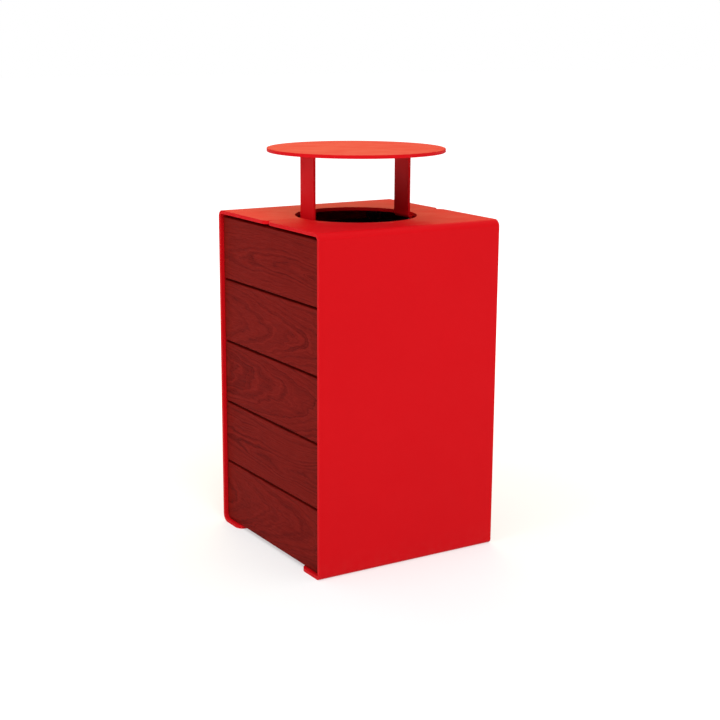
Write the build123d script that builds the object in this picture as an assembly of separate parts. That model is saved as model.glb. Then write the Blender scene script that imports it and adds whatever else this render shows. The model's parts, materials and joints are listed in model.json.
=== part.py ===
"""Dog waste bin: two folded plate shells, wooden sides, a round canopy and a side service door.

Frame: millimetres, +Z up, origin at the centre of the footprint on the ground.
The plain front panel faces -Y, the fixed wooden side faces -X and the service door faces +X.
"""
import os

from build123d import *

# ---- driving dimensions ----
WIDTH = 470.0             # overall, along X
DEPTH = 470.0             # overall, along Y
BODY_TOP = 770.0          # top face of the two shells
CANOPY_TOP = 923.0        # top face of the canopy disc
CANOPY_R = 204.0
PLATE = 8.0               # shells and canopy disc
HOLE_R = 140.0            # throw hole, half in each shell
SEAM_GAP = 1.0            # between the two top flanges
TOP_BEND_R = 16.0         # outer radius of the top bends
FRONT_FOOT_BEND_R = 10.0
REAR_FOOT_BEND_R = 20.0
FOOT_LENGTH = 85.0        # how far each shell turns in along the ground
TIP_R = 20.0              # plan radius of the foot and flange corners
EDGE_R = 1.0              # broken edges of the cut plates

BOARD_COUNT = 5
BOARD_H = 145.0
BOARD_GAP = 5.0
BOARD_T = 20.0
BOARD_BOTTOM = 9.0
BOARD_RECESS = 8.0        # from the shells' side edges in to the boards' faces
BOARD_END_GAP = 2.0       # from a board's end to the shell wall
BOARD_CHAMFER = 1.5
SCREW_OFFSET_Z = 40.0     # two screws per board end, this far above and below its middle

LEG_W = 60.0
LEG_T = 6.0
LEG_X = 127.0             # middle of each canopy leg
LEG_BEND_R = 4.0          # inner radius of the bend at the leg's foot
LEG_FOOT_END_X = 200.0
STUD_X = (160.0, 185.0)
STUD_Y = 18.0

POST_T = 4.0
POST_A = 30.0             # flange on the shell wall
POST_B = 24.0             # flange behind the boards
POST_BOTTOM = 22.0
POST_TOP = 745.0

BASE_T = 4.0
BASE_X = (-200.0, 190.0)
BASE_HALF_Y = 214.0
ANCHOR_X = 140.0
ANCHOR_Y = 190.0
ANCHOR_R = 7.0
BASE_SCREW_X = 60.0
BASE_SCREW_Y = 195.0
DRAIN_R = 6.0

LINER_HALF_X = 172.0
LINER_HALF_Y = 170.0
LINER_TOP = 733.0        # close under the hole, so that nothing drops beside it
LINER_WALL = 2.0
LINER_CORNER_R = 30.0
LINER_BEAD = 6.0          # width and height of the turned-out rim
HAND_SLOT = (100.0, 28.0)
HAND_SLOT_Z = 690.0
LIP_H = 6.0
LIP_T = 3.0
LIP_LENGTH = 240.0

HINGE_X = 229.0           # door hinge axis
HINGE_Y = 220.0
HINGE_R = 6.0
HINGE_PIN_R = 3.0
HINGE_HALF = 30.0         # height of each half
HINGE_Z = (120.0, 600.0)  # underside of the lower and upper hinges
HINGE_WASHER_T = 1.0

STILE_T = 5.0
STILE_Z = (14.0, 749.0)
REAR_STILE_Y = (172.0, 214.0)
FRONT_STILE_Y = (-222.0, -162.0)
RAIL_H = 35.0
DOOR_BOARD_END_Y = 212.0  # hinge end of the door's boards
DOOR_SCREW_Y = (-193.0, 190.0)

LOCK_Y = -180.0
LOCK_BARREL_R = 9.8
LOCK_PLUG_R = 6.0
LOCK_BEZEL_R = 16.0
CAM_LENGTH = 32.0
CAM_W = 16.0
CAM_T = 3.0

BODY_GAP = 0.3            # between solids that belong to different moving bodies
RUNNING_GAP = 0.05        # radial, shaft in hole
BOLT_GAP = 0.25           # radial, bolt in clearance hole

# ---- worked out ----
HALF_W = WIDTH / 2
HALF_D = DEPTH / 2
WALL_Y = HALF_D - PLATE              # inner face of the front and rear walls
FLANGE_BOTTOM = BODY_TOP - PLATE
BOARD_FACE = HALF_W - BOARD_RECESS   # outer face of the boards, each side
BOARD_BACK = BOARD_FACE - BOARD_T
BOARD_PITCH = BOARD_H + BOARD_GAP
BASE_TOP = PLATE + BASE_T
STILE_BACK = BOARD_BACK - STILE_T
POST_FACE_RIGHT = STILE_BACK - BODY_GAP
LOCK_Z = BOARD_BOTTOM + 2 * BOARD_PITCH + BOARD_H / 2
LOCK_INNER_X = POST_FACE_RIGHT - POST_T - 0.1


def block(x0, x1, y0, y1, z0, z1):
    """A box between two corners."""
    middle = Pos((x0 + x1) / 2, (y0 + y1) / 2, (z0 + z1) / 2)
    return middle * Box(abs(x1 - x0), abs(y1 - y0), abs(z1 - z0))


def rod_z(x, y, z0, z1, radius):
    """An upright round bar."""
    return Pos(x, y, (z0 + z1) / 2) * Cylinder(radius, z1 - z0)


def rod_x(x0, x1, y, z, radius):
    """A round bar along X."""
    return Pos((x0 + x1) / 2, y, z) * Rot(0, 90, 0) * Cylinder(radius, abs(x1 - x0))


def upright(shape, x, y):
    """The shape's straight vertical edges at one place in plan."""
    edges = shape.edges().filter_by(Axis.Z)
    return edges.filter_by(lambda e: abs(e.center().X - x) < 0.01 and abs(e.center().Y - y) < 0.01)


def mirror_points(xs, ys):
    """Every combination of the given places on both sides of both axes."""
    return [(sx * x, sy * y) for x in xs for y in ys for sx in (-1, 1) for sy in (-1, 1)]


def board_z(index):
    """Underside of a board, counted from the ground up."""
    return BOARD_BOTTOM + index * BOARD_PITCH


def screw_heights(index):
    middle = board_z(index) + BOARD_H / 2
    return (middle - SCREW_OFFSET_Z, middle + SCREW_OFFSET_Z)


# ---- shells ----
def shell(side, foot_bend_r):
    """One C-shaped folded plate: wall, top flange with half the throw hole, and foot."""
    wall = side * HALF_D
    inner = side * WALL_Y
    foot_end = side * (HALF_D - FOOT_LENGTH)
    seam = side * SEAM_GAP / 2
    outline = [(wall, 0), (foot_end, 0), (foot_end, PLATE), (inner, PLATE), (inner, FLANGE_BOTTOM),
               (seam, FLANGE_BOTTOM), (seam, BODY_TOP), (wall, BODY_TOP)]
    bends = [((wall, 0), foot_bend_r), ((inner, PLATE), foot_bend_r - PLATE),
             ((inner, FLANGE_BOTTOM), TOP_BEND_R - PLATE), ((wall, BODY_TOP), TOP_BEND_R)]
    profile = Polygon(*outline, align=None)
    for (y, z), radius in bends:
        corner = profile.vertices().sort_by_distance(Vector(y, z, 0))[0]
        profile = fillet(corner, radius)
    body = extrude(Plane.YZ * profile, HALF_W, both=True)
    for y in (foot_end, seam):
        for x in (-HALF_W, HALF_W):
            body = fillet(upright(body, x, y), TIP_R)
    body -= Cylinder(HOLE_R, 4 * BODY_TOP)
    top_rim = body.faces().sort_by(Axis.Z)[-1].edges().filter_by(GeomType.CIRCLE)
    body = fillet(top_rim.filter_by(lambda e: abs(e.radius - HOLE_R) < 0.01), EDGE_R)
    for x in (-ANCHOR_X, ANCHOR_X):
        body -= rod_z(x, side * ANCHOR_Y, -PLATE, 2 * PLATE, ANCHOR_R)
    for x in (-BASE_SCREW_X, BASE_SCREW_X):
        body -= rod_z(x, side * BASE_SCREW_Y, -PLATE, 2 * PLATE, 4.0 + BOLT_GAP)
    return body


# ---- canopy ----
def canopy_disc():
    disc = rod_z(0, 0, CANOPY_TOP - PLATE, CANOPY_TOP, CANOPY_R)
    return fillet(disc.edges(), EDGE_R)


def canopy_leg(side):
    """A flat bar that stands inside the hole's end, with its foot turned out under the flanges."""
    near = side * (LEG_X - LEG_T / 2)
    far = side * (LEG_X + LEG_T / 2)
    end = side * LEG_FOOT_END_X
    top = CANOPY_TOP - PLATE
    foot_top = FLANGE_BOTTOM
    foot_bottom = FLANGE_BOTTOM - LEG_T
    outline = [(near, foot_bottom), (end, foot_bottom), (end, foot_top), (far, foot_top),
               (far, top), (near, top)]
    profile = Polygon(*outline, align=None)
    bends = [((near, foot_bottom), LEG_BEND_R + LEG_T), ((far, foot_top), LEG_BEND_R)]
    for (x, z), radius in bends:
        corner = profile.vertices().sort_by_distance(Vector(x, z, 0))[0]
        profile = fillet(corner, radius)
    leg = extrude(Plane.XZ * profile, LEG_W / 2, both=True)
    for y in (-LEG_W / 2, LEG_W / 2):
        leg = fillet(upright(leg, end, y), LEG_W / 6)
    for x in STUD_X:
        for y in (-STUD_Y, STUD_Y):
            leg -= rod_z(side * x, y, foot_bottom - 1, foot_top + 1, 4.0 + BOLT_GAP)
    return leg


# ---- fasteners ----
def flange_studs():
    return [rod_z(x, y, FLANGE_BOTTOM - 17, FLANGE_BOTTOM, 4.0) for x, y in mirror_points(STUD_X, (STUD_Y,))]


def flange_washers():
    top = FLANGE_BOTTOM - LEG_T
    rings = []
    for x, y in mirror_points(STUD_X, (STUD_Y,)):
        rings.append(rod_z(x, y, top - 1.6, top, 8.0) - rod_z(x, y, top - 3, top + 1, 4.2))
    return rings


def flange_nuts():
    top = FLANGE_BOTTOM - LEG_T - 1.6
    nuts = []
    for x, y in mirror_points(STUD_X, (STUD_Y,)):
        hexagon = Pos(x, y, top - 6.5) * extrude(RegularPolygon(7.5, 6), 6.5)
        nuts.append(hexagon - rod_z(x, y, top - 8, top + 1, 4.05))
    return nuts


def base_screws():
    """Button-head screws that hold the base plate down on the shells' feet."""
    screws = []
    for x, y in mirror_points((BASE_SCREW_X,), (BASE_SCREW_Y,)):
        head = fillet(rod_z(x, y, BASE_TOP, BASE_TOP + 4.5, 7.0).edges().sort_by(Axis.Z)[-1], 2.5)
        socket = Pos(x, y, BASE_TOP + 2) * extrude(RegularPolygon(2.9, 6), 5)
        screws.append(head + rod_z(x, y, 1.0, BASE_TOP, 4.0) - socket)
    return screws


def board_screw(x_head, direction, y, z):
    """A pan-head screw that runs from behind into a board."""
    head = rod_x(x_head, x_head - 3 * direction, y, z, 4.5)
    rim = head.edges().filter_by(GeomType.CIRCLE).sort_by(Axis.X)[0 if direction > 0 else -1]
    shank = rod_x(x_head, x_head + 16 * direction, y, z, 2.4)
    tip = Pos(x_head + 18 * direction, y, z) * Rot(0, 90 * direction, 0) * Cone(2.4, 0.4, 4)
    return fillet(rim, 1.2) + shank + tip


def board_screws(x_head, direction, ys):
    return [board_screw(x_head, direction, y, z)
            for i in range(BOARD_COUNT) for z in screw_heights(i) for y in ys]


# ---- boards and posts ----
def board(side, index, y0, y1, screw_ys):
    """One planed board, chamfered along its outer edges, with blind pilot holes behind."""
    z0 = board_z(index)
    plank = block(side * BOARD_FACE, side * BOARD_BACK, y0, y1, z0, z0 + BOARD_H)
    if index == 0:
        foot_corner = plank.edges().filter_by(Axis.X).sort_by_distance(Vector(0, y1, z0))[0]
        plank = fillet(foot_corner, REAR_FOOT_BEND_R - PLATE)
    outer = plank.faces().sort_by(Axis.X)[0 if side < 0 else -1]
    plank = chamfer(outer.edges(), BOARD_CHAMFER)
    for z in screw_heights(index):
        for y in screw_ys:
            plank -= rod_x(side * (BOARD_BACK - 1), side * (BOARD_BACK + 17), y, z, 2.5)
    return plank


def post(side_x, side_y, face):
    """An upright angle on the shell wall, with its second flange parallel to the boards."""
    wall = side_y * WALL_Y
    flange_a = block(side_x * face, side_x * (face - POST_A), wall, wall - side_y * POST_T,
                     POST_BOTTOM, POST_TOP)
    flange_b = block(side_x * face, side_x * (face - POST_T), wall, wall - side_y * POST_B,
                     POST_BOTTOM, POST_TOP)
    angle = flange_a + flange_b
    inner = upright(angle, side_x * (face - POST_T), wall - side_y * POST_T)
    return fillet(inner, POST_T / 2)


def left_post(side_y, screw_y):
    angle = post(-1, side_y, BOARD_BACK)
    for index in range(BOARD_COUNT):
        for z in screw_heights(index):
            angle -= rod_x(-BOARD_BACK - 1, -BOARD_BACK + POST_T + 1, screw_y, z, 2.6)
    return angle


# ---- base and liner ----
def base_plate():
    """The floor inside the bin. It lies on both feet and ties them together."""
    plate = block(*BASE_X, -BASE_HALF_Y, BASE_HALF_Y, PLATE, BASE_TOP)
    plate = fillet(plate.edges().filter_by(Axis.Z), 6)
    for x, y in mirror_points((ANCHOR_X,), (ANCHOR_Y,)):
        plate -= rod_z(x, y, 0, 2 * BASE_TOP, ANCHOR_R)
    for x, y in mirror_points((BASE_SCREW_X,), (BASE_SCREW_Y,)):
        plate -= rod_z(x, y, 0, 2 * BASE_TOP, 4.0 + BOLT_GAP)
    for x, y in [(0, 0)] + mirror_points((90,), (90,)):
        plate -= rod_z(x, y, 0, 2 * BASE_TOP, DRAIN_R)
    return plate


def liner_lips():
    """Four low strips round the liner's base, which it is lifted over."""
    x_in = LINER_HALF_X + 1.5
    y_in = LINER_HALF_Y + 1.5
    top = BASE_TOP + LIP_H
    half = LIP_LENGTH / 2
    lips = []
    for s in (-1, 1):
        lips.append(block(s * x_in, s * (x_in + LIP_T), -half, half, BASE_TOP, top))
        lips.append(block(-half, half, s * y_in, s * (y_in + LIP_T), BASE_TOP, top))
    return lips


def rounded_prism(half_x, half_y, radius, z0, z1):
    return Pos(0, 0, z0) * extrude(RectangleRounded(2 * half_x, 2 * half_y, radius), z1 - z0)


def liner():
    """The lift-out bucket, with a turned-out rim and two hand slots."""
    bottom = BASE_TOP + BODY_GAP
    outer = rounded_prism(LINER_HALF_X, LINER_HALF_Y, LINER_CORNER_R, bottom, LINER_TOP)
    rim = rounded_prism(LINER_HALF_X + LINER_BEAD, LINER_HALF_Y + LINER_BEAD,
                        LINER_CORNER_R + LINER_BEAD, LINER_TOP - LINER_BEAD, LINER_TOP)
    bucket = outer + fillet(rim.edges().filter_by(Plane.XY), 1.5)
    bucket -= rounded_prism(LINER_HALF_X - LINER_WALL, LINER_HALF_Y - LINER_WALL,
                            LINER_CORNER_R - LINER_WALL, bottom + LINER_WALL, LINER_TOP + 1)
    slot = extrude(Plane.XZ * SlotOverall(*HAND_SLOT), 2 * LINER_HALF_Y, both=True)
    return bucket - Pos(0, 0, HAND_SLOT_Z) * slot


# ---- door ----
def door_stile(y0, y1, screw_y):
    bar = block(STILE_BACK, BOARD_BACK, y0, y1, *STILE_Z)
    bar = fillet(bar.edges().filter_by(Axis.X), 3)
    for index in range(BOARD_COUNT):
        for z in screw_heights(index):
            bar -= rod_x(STILE_BACK - 1, BOARD_BACK + 1, screw_y, z, 2.6)
    return bar


def door_stile_front():
    bar = door_stile(*FRONT_STILE_Y, DOOR_SCREW_Y[0])
    return bar - rod_x(STILE_BACK - 1, BOARD_BACK + 1, LOCK_Y, LOCK_Z, LOCK_BARREL_R + 0.2)


def door_rail(z0):
    return block(STILE_BACK, BOARD_BACK, FRONT_STILE_Y[1], REAR_STILE_Y[0], z0, z0 + RAIL_H)


def door_board(index):
    front_end = -WALL_Y + BOARD_END_GAP
    plank = board(1, index, front_end, DOOR_BOARD_END_Y, DOOR_SCREW_Y)
    if board_z(index) < LOCK_Z < board_z(index) + BOARD_H:
        plank -= rod_x(BOARD_BACK - 1, BOARD_FACE + 1, LOCK_Y, LOCK_Z, LOCK_BARREL_R + 0.2)
    return plank


def hinge_fixed(z0):
    """Lower half of a lift-off hinge: barrel, pin and the block that is welded to the rear wall."""
    top = z0 + HINGE_HALF
    barrel = rod_z(HINGE_X, HINGE_Y, z0, top, HINGE_R)
    pad = block(HINGE_X - 5, HINGE_X + 5, HINGE_Y, WALL_Y, z0, top)
    pin = rod_z(HINGE_X, HINGE_Y, top, top + HINGE_HALF - 2, HINGE_PIN_R)
    tip = pin.edges().filter_by(GeomType.CIRCLE).sort_by(Axis.Z)[-1]
    return barrel + pad + chamfer(tip, 0.8)


def hinge_washer(z0):
    bottom = z0 + HINGE_HALF
    ring = rod_z(HINGE_X, HINGE_Y, bottom, bottom + HINGE_WASHER_T, HINGE_R)
    return ring - rod_z(HINGE_X, HINGE_Y, bottom - 1, bottom + 3, HINGE_PIN_R + RUNNING_GAP)


def hinge_moving(z0):
    """Upper half of a lift-off hinge, with its strap welded to the door's rear stile."""
    bottom = z0 + HINGE_HALF + HINGE_WASHER_T + BODY_GAP
    top = bottom + HINGE_HALF
    barrel = rod_z(HINGE_X, HINGE_Y, bottom, top, HINGE_R)
    strap = block(STILE_BACK, HINGE_X, REAR_STILE_Y[1], HINGE_Y - 0.5, bottom, top)
    bore = rod_z(HINGE_X, HINGE_Y, bottom - 1, top + 1, HINGE_PIN_R + RUNNING_GAP)
    return barrel + strap - bore


# ---- lock ----
def lock_housing():
    """Bezel on the board's face and threaded barrel through board and stile."""
    bezel = rod_x(BOARD_FACE, BOARD_FACE + 3, LOCK_Y, LOCK_Z, LOCK_BEZEL_R)
    rim = bezel.edges().filter_by(GeomType.CIRCLE).sort_by(Axis.X)[-1]
    barrel = rod_x(LOCK_INNER_X, BOARD_FACE, LOCK_Y, LOCK_Z, LOCK_BARREL_R)
    bore = rod_x(LOCK_INNER_X - 1, BOARD_FACE + 4, LOCK_Y, LOCK_Z, LOCK_PLUG_R + RUNNING_GAP)
    return fillet(rim, 1.5) + barrel - bore


def lock_nut():
    hexagon = extrude(Plane.YZ * RegularPolygon(14.0, 6), 4.0)
    nut = Pos(STILE_BACK - 4.0, LOCK_Y, LOCK_Z) * hexagon
    return nut - rod_x(STILE_BACK - 5, STILE_BACK + 1, LOCK_Y, LOCK_Z, LOCK_BARREL_R + 0.1)


def lock_plug():
    """The turning plug, with a triangular key post inside its face."""
    inner = LOCK_INNER_X - 0.4
    face = BOARD_FACE + 2.5
    plug = rod_x(inner, face, LOCK_Y, LOCK_Z, LOCK_PLUG_R)
    recess = rod_x(face - 5, face + 1, LOCK_Y, LOCK_Z, LOCK_PLUG_R - 0.8)
    key_post = Pos(face - 5, LOCK_Y, LOCK_Z) * extrude(Plane.YZ * RegularPolygon(4.2, 3), 6)
    screw_hole = rod_x(inner - 1, inner + 9, LOCK_Y, LOCK_Z, 3.0)
    return plug - (recess - key_post) - screw_hole


def lock_cam():
    """Flat cam. It hangs down when unlocked and turns behind the front post to lock."""
    outer = LOCK_INNER_X - 0.4
    blade = block(outer - CAM_T, outer, LOCK_Y - CAM_W / 2, LOCK_Y + CAM_W / 2, LOCK_Z - CAM_LENGTH, LOCK_Z)
    blade = fillet(blade.edges().filter_by(Axis.X).sort_by(Axis.Z)[:2], 4)
    boss = rod_x(outer - CAM_T, outer, LOCK_Y, LOCK_Z, CAM_W / 2)
    return blade + boss - rod_x(outer - CAM_T - 1, outer + 1, LOCK_Y, LOCK_Z, 3.1)


def lock_cam_screw():
    inner = LOCK_INNER_X - 0.4 - CAM_T
    head = Pos(inner - 4, LOCK_Y, LOCK_Z) * extrude(Plane.YZ * RegularPolygon(5.6, 6), 4)
    return head + rod_x(inner, inner + CAM_T + 8, LOCK_Y, LOCK_Z, 2.95)


def parts():
    """Every node, by name: one solid, or a list of separate identical solids."""
    left_end = WALL_Y - BOARD_END_GAP
    left_screw_y = 213.0
    nodes = {
        "front_shell": shell(-1, FRONT_FOOT_BEND_R),
        "rear_shell": shell(1, REAR_FOOT_BEND_R),
        "canopy_disc": canopy_disc(),
        "canopy_leg_left": canopy_leg(-1),
        "canopy_leg_right": canopy_leg(1),
        "flange_studs": flange_studs(),
        "flange_washers": flange_washers(),
        "flange_nuts": flange_nuts(),
        "base_plate": base_plate(),
        "base_screws": base_screws(),
        "liner_lips": liner_lips(),
        "liner": liner(),
        "left_front_post": left_post(-1, -left_screw_y),
        "left_rear_post": left_post(1, left_screw_y),
        "right_front_post": post(1, -1, POST_FACE_RIGHT),
        "right_rear_post": post(1, 1, POST_FACE_RIGHT),
        "left_board_screws": board_screws(-BOARD_BACK + POST_T, -1, (-left_screw_y, left_screw_y)),
        "door_stile_front": door_stile_front(),
        "door_stile_rear": door_stile(*REAR_STILE_Y, DOOR_SCREW_Y[1]),
        "door_rail_bottom": door_rail(STILE_Z[0]),
        "door_rail_top": door_rail(STILE_Z[1] - RAIL_H),
        "door_board_screws": board_screws(STILE_BACK, 1, DOOR_SCREW_Y),
        "hinge_washers": [hinge_washer(z) for z in HINGE_Z],
        "lock_housing": lock_housing(),
        "lock_nut": lock_nut(),
        "lock_plug": lock_plug(),
        "lock_cam": lock_cam(),
        "lock_cam_screw": lock_cam_screw(),
    }
    for place, z in zip(("lower", "upper"), HINGE_Z):
        nodes["hinge_fixed_" + place] = hinge_fixed(z)
        nodes["hinge_moving_" + place] = hinge_moving(z)
    for index in range(BOARD_COUNT):
        ys = (-left_screw_y, left_screw_y)
        nodes["left_board_%d" % (index + 1)] = board(-1, index, -left_end, left_end, ys)
        nodes["door_board_%d" % (index + 1)] = door_board(index)
    return nodes


def main():
    os.makedirs("parts", exist_ok=True)
    for name, shape in parts().items():
        if isinstance(shape, list):
            shape = Compound(children=shape)
        export_step(shape, "parts/%s.step" % name)


main()
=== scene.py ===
"""Looks of the dog waste bin: materials, softened edges, weld beads, floor, light and camera."""
import json
import math
import random

import bmesh
import bpy
from mathutils import Matrix, Vector


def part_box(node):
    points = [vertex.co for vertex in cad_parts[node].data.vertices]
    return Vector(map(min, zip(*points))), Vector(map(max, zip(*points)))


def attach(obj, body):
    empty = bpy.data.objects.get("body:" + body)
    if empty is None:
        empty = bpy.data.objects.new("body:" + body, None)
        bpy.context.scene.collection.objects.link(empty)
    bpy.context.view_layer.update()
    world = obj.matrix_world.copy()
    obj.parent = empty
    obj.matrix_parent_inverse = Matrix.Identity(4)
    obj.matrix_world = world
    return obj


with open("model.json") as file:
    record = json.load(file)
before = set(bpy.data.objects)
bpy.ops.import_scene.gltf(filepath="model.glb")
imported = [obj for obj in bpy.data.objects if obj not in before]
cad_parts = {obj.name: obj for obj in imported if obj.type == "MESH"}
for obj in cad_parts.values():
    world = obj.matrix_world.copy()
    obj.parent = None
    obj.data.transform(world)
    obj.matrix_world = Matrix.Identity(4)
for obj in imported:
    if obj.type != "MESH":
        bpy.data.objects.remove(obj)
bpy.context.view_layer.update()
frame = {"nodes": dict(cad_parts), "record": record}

# ---- camera, as seen in the photograph ----
CAM_AZIMUTH = math.radians(-31.85)
CAM_ELEVATION = math.radians(13.15)
CAM_DISTANCE = 3.348
CAM_TARGET_Z = 0.426
CAM_SIDE_SHIFT = 0.0114
CAM_ROLL = 0.006             # radians
CAM_LENS = 71.0              # millimetres
SENSOR = 36.0                # millimetres

# ---- studio light ----
FLOOR_SIZE = 60
FLOOR_GREY = (0.50, 0.53)    # darkest and palest
FLOOR_GLOW = (0.45, 0.80)    # near the bin and far off
FLOOR_REACH = (0.6, 3.0)     # distances between which the glow grows
DOME_RISE = (0.25, 0.85)     # sines of the elevations between which the dome brightens
DOME_GLOW = (0.08, 1.12)     # near the horizon and overhead
WHITE = (1, 1, 1)
# Each soft light's place, aim, width and height, power in watts, and colour.
SOFT_LIGHTS = {
    "key_front": ((-1.6, -6.0, 5.75), (0, 0, 0.45), (4.0, 4.0), 270, WHITE),
    "left_side": ((-5.6, -0.6, 3.4), (0, 0, 0.5), (2.8, 2.8), 90, WHITE),
    "warm_back": ((1.0, 2.4, 2.5), (0, 0, 0.8), (2.8, 1.2), 52, (1.0, 0.77, 0.32)),
}

# ---- colours, linear ----
RED = (0.600, 0.0030, 0.0068, 1)
RED_DEEP = (0.520, 0.0020, 0.0046, 1)
WOOD_PALE = (0.210, 0.0105, 0.0070, 1)
WOOD_BASE = (0.160, 0.0070, 0.0046, 1)
WOOD_DARK = (0.085, 0.0030, 0.0022, 1)
DUST = (0.36, 0.20, 0.17, 1)

# Each machined or plated metal's display colour, that of its dull patches, and its roughness.
METALS = {
    "stainless_steel": ((176, 177, 178), (140, 141, 142), 0.32),
    "zinc_plated_steel": ((186, 188, 186), (150, 152, 148), 0.36),
    "chrome_lock": ((168, 169, 172), (138, 139, 143), 0.20),
    "brass": ((196, 164, 92), (150, 118, 60), 0.30),
}

# ---- boards ----
RING_PITCH = 0.0072          # one year's growth
BOARD_FACE_X = abs(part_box("left_board_1")[0][0])
# Each board's log: pith height, pith depth, change of depth along Y, seed.
LEFT_LOGS = [(0.004, 0.100, -0.075, 11), (-0.010, 0.026, 0.050, 12), (0.006, 0.098, -0.078, 13),
             (-0.014, 0.102, -0.074, 14), (-0.012, 0.024, 0.054, 15)]
DOOR_LOGS = [(0.020, 0.030, -0.045, 21), (-0.008, 0.090, 0.070, 22), (0.060, 0.040, 0.020, 23),
             (0.002, 0.105, 0.080, 24), (-0.030, 0.035, -0.050, 25)]

# ---- softened edges ----
JOIN_DISTANCE = 1e-6
SHARP_ANGLE = math.radians(50)
SHELL_EDGE = 0.0010
LEG_EDGE = 0.0008
SMALL_EDGE = 0.0004
FRAME_EDGE = 0.0003

# ---- weld beads ----
CANOPY_WELD_R = 0.0026
HINGE_WELD_R = 0.0014
HINGE_PAD_HALF = 0.005       # from a hinge's axis to each side of its pad
HINGE_WELD_INSET = 0.002     # from the pad's ends
LEG_THICKNESS = 0.006
WELD_STEP = 0.35             # of the bead's radius
WELD_SIDES = 10
WELD_RIPPLE = 5.0            # steps from one ripple to the next
RIPPLE_DEPTH = 0.10          # of the bead's radius
WELD_TIP = 0.45              # thickness of a bead's end, and how much each step adds
WELD_TAPER = 0.3

SLOTS = {p["node"]: p["material_slot"] for p in frame["record"]["subparts"]}


def srgb(*values):
    """Linear colour with alpha from 0-255 display values."""
    linear = [v / 255 / 12.92 if v <= 10 else ((v / 255 + 0.055) / 1.055) ** 2.4 for v in values]
    return (*linear, 1)


# ---- node helpers ----
class Nodes:
    """A short way to write a material's node tree."""

    def __init__(self, name):
        self.material = bpy.data.materials.new(name)
        self.material.use_nodes = True
        self.tree = self.material.node_tree
        self.shader = self.tree.nodes["Principled BSDF"]

    def add(self, kind, inputs=None, **settings):
        node = self.tree.nodes.new(kind)
        for key, value in settings.items():
            setattr(node, key, value)
        for key, value in (inputs or {}).items():
            self.feed(node, key, value)
        return node

    def feed(self, node, key, value):
        if isinstance(value, bpy.types.NodeSocket):
            self.tree.links.new(value, node.inputs[key])
        else:
            node.inputs[key].default_value = value

    def place(self, scale=(1, 1, 1), offset=(0, 0, 0)):
        """Object coordinates in metres, scaled and moved."""
        coordinates = self.add("ShaderNodeTexCoord").outputs["Object"]
        mapping = {"Vector": coordinates, "Scale": scale, "Location": offset}
        return self.add("ShaderNodeMapping", mapping).outputs["Vector"]

    def noise(self, place, scale, detail=3.0, roughness=0.5):
        inputs = {"Vector": place, "Scale": scale, "Detail": detail, "Roughness": roughness}
        return self.add("ShaderNodeTexNoise", inputs).outputs["Fac"]

    def noise_along(self, value, scale, detail, roughness):
        """Noise that changes with one number only."""
        inputs = {"W": value, "Scale": scale, "Detail": detail, "Roughness": roughness}
        return self.add("ShaderNodeTexNoise", inputs, noise_dimensions="1D").outputs["Fac"]

    def math(self, operation, a, b=0.0, clamp=False):
        node = self.add("ShaderNodeMath", operation=operation, use_clamp=clamp)
        self.feed(node, 0, a)
        self.feed(node, 1, b)
        return node.outputs[0]

    def plus(self, a, b, clamp=False):
        return self.math("ADD", a, b, clamp)

    def minus(self, a, b):
        return self.math("SUBTRACT", a, b)

    def times(self, a, b):
        return self.math("MULTIPLY", a, b)

    def span(self, value, low, high, to_low=0.0, to_high=1.0):
        """Maps a range to another one, with clamping."""
        inputs = {"Value": value, "From Min": low, "From Max": high, "To Min": to_low, "To Max": to_high}
        return self.add("ShaderNodeMapRange", inputs).outputs["Result"]

    def ramp(self, value, stops):
        node = self.add("ShaderNodeValToRGB", {"Fac": value})
        elements = node.color_ramp.elements
        for index, (position, colour) in enumerate(stops):
            element = elements[index] if index < 2 else elements.new(position)
            element.position = position
            element.color = colour
        return node.outputs["Color"]

    def mix(self, factor, a, b):
        """Colour a, turning to colour b as the factor rises from 0 to 1."""
        node = self.add("ShaderNodeMix", data_type="RGBA")
        self.feed(node, 0, factor)
        self.feed(node, 6, a)
        self.feed(node, 7, b)
        return node.outputs[2]

    def bump(self, height, strength, distance):
        inputs = {"Height": height, "Strength": strength, "Distance": distance}
        return self.add("ShaderNodeBump", inputs).outputs["Normal"]

    def surface(self, **inputs):
        for key, value in inputs.items():
            self.feed(self.shader, key.replace("_", " "), value)
        return self.material


# ---- materials ----
def red_powder_coat():
    """Satin coating: orange peel, faint cloudiness, dust near the ground and rubbed patches."""
    n = Nodes("red_powder_coat")
    place = n.place()
    cloud = n.noise(place, scale=3.5, detail=4.0)
    colour = n.mix(n.span(cloud, 0.35, 0.65, 0.0, 0.18), RED, RED_DEEP)
    speck = n.span(n.noise(place, scale=2600.0, detail=1.0), 0.70, 0.78, 0.0, 0.12)
    colour = n.mix(speck, colour, RED_DEEP)
    height = n.add("ShaderNodeSeparateXYZ", {"Vector": place}).outputs["Z"]
    drops = n.span(n.noise(place, scale=55.0, detail=5.0, roughness=0.65), 0.42, 0.72)
    splash = n.times(n.span(height, 0.0, 0.06, 1.0, 0.0), drops)
    colour = n.mix(n.times(splash, 0.04), colour, DUST)
    rubbed = n.span(n.noise(place, scale=18.0, detail=5.0), 0.3, 0.7, 0.50, 0.60)
    rough = n.plus(rubbed, n.times(splash, 0.15))
    fine_peel = n.noise(place, scale=900.0, detail=2.0)
    wide_peel = n.noise(place, scale=220.0, detail=2.0)
    peel = n.plus(fine_peel, n.times(wide_peel, 0.6))
    n.feed(n.shader, "Specular IOR Level", 0.06)
    return n.surface(Base_Color=colour, Roughness=rough, Normal=n.bump(peel, 0.12, 0.0003))


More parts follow.
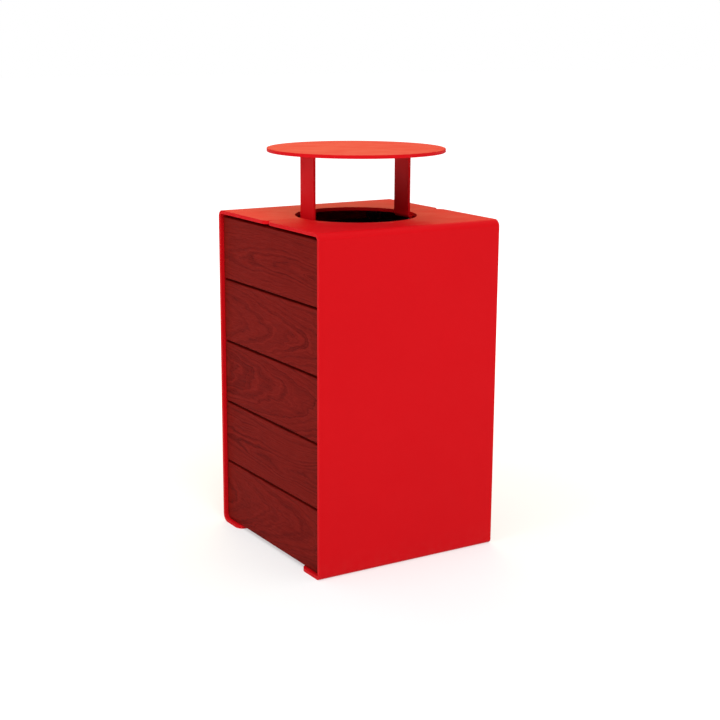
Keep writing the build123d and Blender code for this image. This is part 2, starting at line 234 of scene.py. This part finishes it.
def ring_count(n, side, middle_z, log, shift, first_year):
    """How many growth rings lie between the log's pith and each point of the board.

    The pith runs along the board, behind its face. log gives its height from the board's
    middle, its depth behind the face and how fast that depth changes along Y.
    """
    pith_z, pith_depth, tilt, _ = log
    at = n.add("ShaderNodeSeparateXYZ", {"Vector": n.place()}).outputs
    slow = n.noise(n.place(scale=(1, 1.3, 3.0), offset=shift), scale=2.2, detail=2.0)
    quick = n.noise(n.place(scale=(1, 5.0, 16.0), offset=shift), scale=3.0, detail=3.0)
    sway = n.span(slow, 0.2, 0.8, -0.020, 0.020)
    waver = n.span(quick, 0.2, 0.8, -0.0030, 0.0030)
    across = n.plus(n.minus(at["Z"], middle_z + pith_z), sway)
    depth = n.plus(n.times(at["X"], side), pith_depth - BOARD_FACE_X)
    behind = n.plus(depth, n.times(at["Y"], tilt))
    squares = n.plus(n.times(across, across), n.times(behind, behind))
    radius = n.plus(n.math("SQRT", squares), waver)
    return n.plus(n.times(radius, 1 / RING_PITCH), first_year)


def stained_wood(name, side, middle_z, log):
    """A flat-sawn board: the growth rings of a tilted log, cut by the board's face."""
    rng = random.Random(log[3])
    n = Nodes(name)
    shift = tuple(rng.uniform(0, 20) for _ in range(3))
    year = ring_count(n, side, middle_z, log, shift, first_year=rng.uniform(0, 50))

    uneven = n.noise_along(year, scale=0.9, detail=4.0, roughness=0.62)
    phase = n.math("FRACT", n.plus(year, n.times(uneven, 1.6)))
    late = n.times(n.span(phase, 0.35, 0.86), n.span(phase, 1.0, 0.90))
    fine = n.noise_along(year, scale=4.5, detail=3.0, roughness=0.7)

    along = n.place(scale=(1, 0.035, 1), offset=shift)
    streaks = n.noise(along, scale=420.0, detail=4.0, roughness=0.68)
    fibre = n.noise(along, scale=1300.0, detail=3.0, roughness=0.65)
    pores = n.span(n.noise(n.place(scale=(1, 0.03, 1), offset=shift), scale=1700.0, detail=2.0), 0.62, 0.72)
    patches = n.noise(n.place(scale=(1, 0.5, 1), offset=shift), scale=7.0, detail=3.0)
    patchy_late = n.times(late, n.span(patches, 0.35, 0.7, 0.35, 1.0))

    tone = n.plus(n.times(patchy_late, 0.62), n.span(fine, 0.38, 0.66, 0.0, 0.34))
    tone = n.plus(tone, n.span(streaks, 0.40, 0.66, -0.02, 0.34))
    tone = n.plus(tone, n.span(fibre, 0.35, 0.70, -0.05, 0.12), clamp=True)
    colour = n.ramp(tone, [(0.0, WOOD_PALE), (0.45, WOOD_BASE), (1.0, WOOD_DARK)])
    colour = n.mix(n.times(pores, 0.45), colour, WOOD_DARK)
    height = n.minus(n.times(fibre, 0.5), n.plus(pores, n.times(late, 0.4)))
    n.feed(n.shader, "Specular IOR Level", 0.015)
    return n.surface(Base_Color=colour, Roughness=n.span(fibre, 0.3, 0.7, 0.48, 0.62),
                     Normal=n.bump(height, 0.35, 0.0003))


def galvanised_steel():
    """Zinc spangle with a few darker stains."""
    n = Nodes("galvanised_steel")
    place = n.place()
    cells = n.add("ShaderNodeTexVoronoi", {"Vector": place, "Scale": 90.0}).outputs["Distance"]
    grey = n.ramp(n.math("FRACT", n.times(cells, 37.0)),
                  [(0.0, srgb(142, 146, 149)), (1.0, srgb(178, 181, 183))])
    stain = n.span(n.noise(place, scale=14.0, detail=5.0), 0.45, 0.75, 0.0, 0.5)
    colour = n.mix(stain, grey, srgb(120, 122, 121))
    rough = n.span(n.noise(place, scale=60.0, detail=3.0), 0.3, 0.7, 0.38, 0.58)
    return n.surface(Base_Color=colour, Metallic=0.9, Roughness=rough, Normal=n.bump(cells, 0.08, 0.0004))


def black_coated_steel():
    """Dull black coating with upright scuffs. Its near-black is partly the liner's own colour and partly
    painted shade for the dark inside of the bin.
    """
    n = Nodes("black_coated_steel")
    grain = n.noise(n.place(), scale=700.0, detail=2.0)
    scuff = n.span(n.noise(n.place(scale=(1, 1, 0.12)), scale=120.0, detail=4.0), 0.60, 0.80, 0.0, 0.35)
    # near-black base: partly painted shade for the bin's dark inside; the paler streaks are scuffs
    colour = n.mix(scuff, srgb(17, 17, 18), srgb(52, 52, 53))
    rough = n.span(grain, 0.3, 0.7, 0.55, 0.72)
    return n.surface(Base_Color=colour, Roughness=rough, Normal=n.bump(grain, 0.3, 0.0003))


def turned_metal(name, base, dark, roughness):
    """Machined or plated metal with fine scratches and a few dull patches."""
    n = Nodes(name)
    lines = n.noise(n.place(scale=(1, 1, 0.06)), scale=3000.0, detail=2.0)
    patch = n.span(n.noise(n.place(), scale=45.0, detail=4.0), 0.45, 0.75, 0.0, 0.6)
    colour = n.mix(patch, srgb(*base), srgb(*dark))
    rough = n.span(lines, 0.3, 0.7, roughness - 0.06, roughness + 0.08)
    return n.surface(Base_Color=colour, Metallic=1.0, Roughness=rough, Normal=n.bump(lines, 0.1, 0.0001))


def paint(name, material):
    """Gives a CAD node's object one material."""
    mesh = frame["nodes"][name].data
    mesh.materials.clear()
    mesh.materials.append(material)


def board_material(name):
    """The wood of one board, from its own log."""
    index = int(name[-1]) - 1
    side, log = (-1, LEFT_LOGS[index]) if name.startswith("left") else (1, DOOR_LOGS[index])
    low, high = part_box(name)
    return stained_wood("wood_" + name, side, 0.5 * (low[2] + high[2]), log)


def dress_nodes():
    """A material for every CAD node, from the record's slot. Returns the shared ones."""
    finishes = {
        "red_powder_coat": red_powder_coat(),
        "galvanised_steel": galvanised_steel(),
        "black_coated_steel": black_coated_steel(),
    }
    for name, (base, dark, roughness) in METALS.items():
        finishes[name] = turned_metal(name, base, dark, roughness)
    for name in frame["nodes"]:
        paint(name, board_material(name) if SLOTS[name] == "stained_wood" else finishes[SLOTS[name]])
    return finishes


# ---- softened edges ----
def soften(name, width):
    """Joins the faces of a CAD node's object and rounds the cut edges between them."""
    modifiers = frame["nodes"][name].modifiers
    modifiers.new("joined_faces", "WELD").merge_threshold = JOIN_DISTANCE
    bevel = modifiers.new("soft_edge", "BEVEL")
    bevel.width = width
    bevel.segments = 2
    bevel.limit_method = "ANGLE"
    bevel.angle_limit = SHARP_ANGLE
    modifiers.new("even_shading", "WEIGHTED_NORMAL")


def soften_edges():
    """Rounds each kind of piece by what suits its size."""
    for name, slot in SLOTS.items():
        if name in ("front_shell", "rear_shell"):
            soften(name, SHELL_EDGE)
        elif name in ("canopy_leg_left", "canopy_leg_right"):
            soften(name, LEG_EDGE)
        elif slot in ("stained_wood", "chrome_lock", "zinc_plated_steel"):
            soften(name, SMALL_EDGE)
        elif name.startswith(("hinge", "door", "left", "right", "base_plate", "liner_lips")):
            soften(name, FRAME_EDGE)


# ---- weld beads ----
def bead_centres(path, radius, closed):
    """Even steps along a path."""
    points = [Vector(p) for p in path]
    ends = points + points[:1] if closed else points
    centres = []
    for start, end in zip(ends, ends[1:]):
        steps = max(2, round((end - start).length / (WELD_STEP * radius)))
        centres += [start.lerp(end, i / steps) for i in range(steps)]
    if not closed:
        centres.append(points[-1])
    return centres


def bead_ring(mesh, centre, along, thick):
    """One ring of a bead's skin, square to the bead."""
    side = along.orthogonal().normalized()
    if abs(along.z) < 0.9:
        side = along.cross(Vector((0, 0, 1))).normalized()
    up = side.cross(along)
    turn = [math.tau * k / WELD_SIDES for k in range(WELD_SIDES)]
    return [mesh.verts.new(centre + thick * (math.cos(a) * side + math.sin(a) * up)) for a in turn]


def bead(name, path, radius, body, material, closed=False):
    """A weld: a thin tube along a path, with the even ripples of a hand-run bead."""
    centres = bead_centres(path, radius, closed)
    count = len(centres)
    mesh = bmesh.new()
    rings = []
    for i, centre in enumerate(centres):
        before = centres[i - 1] if closed or i else centre
        after = centres[(i + 1) % count] if closed or i < count - 1 else centre
        taper = 1.0 if closed else min(1.0, WELD_TIP + WELD_TAPER * min(i, count - 1 - i))
        ripple = 1 - RIPPLE_DEPTH + RIPPLE_DEPTH * math.cos(i * math.tau / WELD_RIPPLE)
        rings.append(bead_ring(mesh, centre, (after - before).normalized(), radius * taper * ripple))
    pairs = zip(rings, rings[1:] + rings[:1]) if closed else zip(rings, rings[1:])
    for first, second in pairs:
        for k in range(WELD_SIDES):
            j = (k + 1) % WELD_SIDES
            mesh.faces.new((first[k], first[j], second[j], second[k]))
    if not closed:
        mesh.faces.new(rings[0][::-1])
        mesh.faces.new(rings[-1])
    bmesh.ops.recalc_face_normals(mesh, faces=mesh.faces)
    for face in mesh.faces:
        face.smooth = True
    data = bpy.data.meshes.new(name)
    mesh.to_mesh(data)
    mesh.free()
    data.materials.append(material)
    piece = bpy.data.objects.new(name, data)
    bpy.context.collection.objects.link(piece)
    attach(piece, body)


def weld_canopy(material):
    """A bead all round the top of each canopy leg, under the disc."""
    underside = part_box("canopy_disc")[0][2]
    for side, name in ((-1, "left"), (1, "right")):
        low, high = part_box("canopy_leg_" + name)
        inner = min(abs(low[0]), abs(high[0]))
        near, far = side * inner, side * (inner + LEG_THICKNESS)
        half = high[1]
        outline = [(near, -half), (far, -half), (far, half), (near, half)]
        path = [(x, y, underside) for x, y in outline]
        bead("weld_canopy_" + name, path, CANOPY_WELD_R, "bin", material, closed=True)


def weld_hinges(material):
    """Two upright beads at the wall side of each fixed hinge pad."""
    for name in ("lower", "upper"):
        low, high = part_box("hinge_fixed_" + name)
        axis_x = 0.5 * (low[0] + high[0])
        pad_top = 0.5 * (low[2] + high[2])
        for edge, x in (("in", axis_x - HINGE_PAD_HALF), ("out", axis_x + HINGE_PAD_HALF)):
            path = [(x, high[1], z) for z in (low[2] + HINGE_WELD_INSET, pad_top - HINGE_WELD_INSET)]
            bead("weld_hinge_%s_%s" % (name, edge), path, HINGE_WELD_R, "bin", material)


# ---- stage ----
def floor():
    """A pale floor that glows a little, so that it fades into the white backdrop."""
    n = Nodes("studio_floor")
    shade = n.span(n.noise(n.place(), scale=1.2, detail=3.0), 0.3, 0.7)
    colour = n.mix(shade, *[(grey, grey, grey, 1) for grey in FLOOR_GREY])
    material = n.surface(Base_Color=colour, Roughness=0.9)
    n.feed(n.shader, "Specular IOR Level", 0.0)
    n.feed(n.shader, "Emission Color", (1, 1, 1, 1))
    distance = n.add("ShaderNodeVectorMath", {0: n.place()}, operation="LENGTH").outputs["Value"]
    n.feed(n.shader, "Emission Strength", n.span(distance, *FLOOR_REACH, *FLOOR_GLOW))
    bpy.ops.mesh.primitive_plane_add(size=FLOOR_SIZE, location=(0, 0, 0))
    plane = bpy.context.object
    plane.name = "studio_floor"
    plane.data.materials.append(material)


def area_light(name, place, aim, size, power, colour):
    """A soft box that the camera doesn't see; size is its width and height."""
    lamp = bpy.data.lights.new(name, "AREA")
    lamp.shape = "ELLIPSE"
    lamp.size, lamp.size_y = size
    lamp.energy = power
    lamp.color = colour
    obj = bpy.data.objects.new(name, lamp)
    bpy.context.collection.objects.link(obj)
    obj.location = place
    obj.rotation_euler = (Vector(aim) - Vector(place)).to_track_quat("-Z", "Y").to_euler()
    obj.visible_camera = False


def dome():
    """A white backdrop, with a soft dome that is dim at the horizon and bright overhead."""
    world = bpy.data.worlds.new("studio")
    bpy.context.scene.world = world
    world.use_nodes = True
    tree = world.node_tree
    new, link = tree.nodes.new, tree.links.new
    backdrop = tree.nodes["Background"]
    backdrop.inputs["Color"].default_value = (1, 1, 1, 1)
    direction = new("ShaderNodeTexCoord")
    split = new("ShaderNodeSeparateXYZ")
    link(direction.outputs["Generated"], split.inputs[0])
    rise = new("ShaderNodeMapRange")
    for key, value in zip(("From Min", "From Max", "To Min", "To Max"), DOME_RISE + DOME_GLOW):
        rise.inputs[key].default_value = value
    link(split.outputs["Z"], rise.inputs["Value"])
    soft = new("ShaderNodeBackground")
    link(rise.outputs["Result"], soft.inputs["Strength"])
    soft.inputs["Color"].default_value = (1, 1, 1, 1)
    path = new("ShaderNodeLightPath")
    choose = new("ShaderNodeMixShader")
    link(path.outputs["Is Camera Ray"], choose.inputs[0])
    link(soft.outputs[0], choose.inputs[1])
    link(backdrop.outputs[0], choose.inputs[2])
    link(choose.outputs[0], tree.nodes["World Output"].inputs["Surface"])


def light():
    dome()
    for name, (place, aim, size, power, colour) in SOFT_LIGHTS.items():
        area_light(name, place, aim, size, power, colour)


def camera():
    level = math.cos(CAM_ELEVATION)
    back = Vector((math.sin(CAM_AZIMUTH) * level, -math.cos(CAM_AZIMUTH) * level, math.sin(CAM_ELEVATION)))
    right = (-back).cross(Vector((0, 0, 1))).normalized()
    up = right.cross(-back)
    x_axis = math.cos(CAM_ROLL) * right + math.sin(CAM_ROLL) * up
    y_axis = -math.sin(CAM_ROLL) * right + math.cos(CAM_ROLL) * up
    data = bpy.data.cameras.new("camera")
    data.lens = CAM_LENS
    data.sensor_width = SENSOR
    obj = bpy.data.objects.new("camera", data)
    bpy.context.collection.objects.link(obj)
    place = back * CAM_DISTANCE + Vector((0, 0, CAM_TARGET_Z)) + right * CAM_SIDE_SHIFT
    turn = Matrix((x_axis, y_axis, back)).transposed().to_4x4()
    obj.matrix_world = Matrix.Translation(place) @ turn
    bpy.context.scene.camera = obj
    bpy.context.scene.view_settings.view_transform = "Standard"


finishes = dress_nodes()
weld_canopy(finishes["red_powder_coat"])
weld_hinges(finishes["galvanised_steel"])
soften_edges()
floor()
light()
camera()
